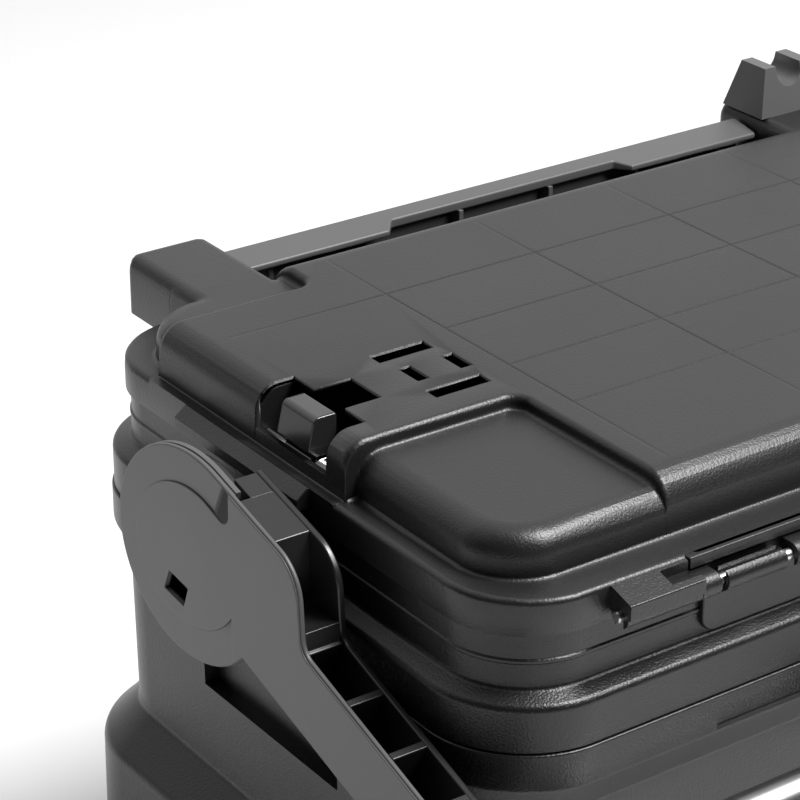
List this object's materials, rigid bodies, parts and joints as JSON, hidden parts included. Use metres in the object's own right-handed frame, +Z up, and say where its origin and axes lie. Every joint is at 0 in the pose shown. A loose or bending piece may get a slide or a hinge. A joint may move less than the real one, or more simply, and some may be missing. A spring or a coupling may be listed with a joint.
{
  "type": "fishing seat box",
  "caption": "Moulded fishing seat box with a hinged, stepped lid, end latches, a swinging bail handle, a front pull bar, a rod rest and a lift-out tray.",
  "frame": {"origin": "centre of the floor under the box, midway between the lid flanges", "axes": "+Z up, X along the long side, -Y the hinge side, +Y the front with the pull bar"},
  "size_m": [0.54, 0.3915, 0.368],
  "materials": {
    "lid_plastic": "fine matte",
    "body_plastic": "pebble grain",
    "arm_plastic": "satin",
    "latch_plastic": "gloss",
    "tray_plastic": "matte",
    "rubber": "matte",
    "steel": "zinc plated"
  },
  "bodies": {
    "base": {"bucket": "body_plastic", "rim_frame": "body_plastic", "rubber_feet": "rubber", "inner_tray": "tray_plastic", "tray_dividers": "tray_plastic"},
    "lid": {"lid_shell": "lid_plastic", "hinge_pin": "steel", "hinge_block_left": "body_plastic", "hinge_block_right": "body_plastic", "latch_pin_left": "steel", "latch_pin_right": "steel", "latch_spring_left": "steel", "latch_spring_right": "steel", "rod_rest": "arm_plastic", "rest_screws": "steel"},
    "handle": {"handle_arm_left": "arm_plastic", "handle_arm_right": "arm_plastic", "handle_tube": "steel", "tube_screws": "steel", "handle_grip": "rubber", "pivot_washers": "steel", "pivot_screws": "steel"},
    "latch_left": {"latch_paddle_left": "latch_plastic"},
    "latch_right": {"latch_paddle_right": "latch_plastic"},
    "pull_bar": {"pull_bar": "arm_plastic", "bar_pins": "steel"}
  },
  "joints": [
    {"name": "lid_hinge", "type": "hinge", "parent": "base", "child": "lid", "pos_m": [0, -0.156, 0.315], "axis": [1, 0, 0], "range_deg": [0, 100]},
    {"name": "handle_swing", "type": "hinge", "parent": "base", "child": "handle", "pos_m": [0, 0.029, 0.2835], "axis": [-1, 0, 0], "range_deg": [0, 105]},
    {"name": "latch_left_press", "type": "hinge", "parent": "lid", "child": "latch_left", "pos_m": [-0.225, 0, 0.328], "axis": [0, -1, 0], "range_deg": [0, 15], "stiffness_Nm_per_rad": 0.02, "springref_deg": -11.46},
    {"name": "latch_right_press", "type": "hinge", "parent": "lid", "child": "latch_right", "pos_m": [0.225, 0, 0.328], "axis": [0, 1, 0], "range_deg": [0, 15], "stiffness_Nm_per_rad": 0.02, "springref_deg": -11.46},
    {"name": "pull_bar_swing", "type": "hinge", "parent": "base", "child": "pull_bar", "pos_m": [0, 0.166, 0.281], "axis": [-1, 0, 0], "range_deg": [0, 30], "stiffness_Nm_per_rad": 0.06, "springref_deg": -14.32}
  ]
}
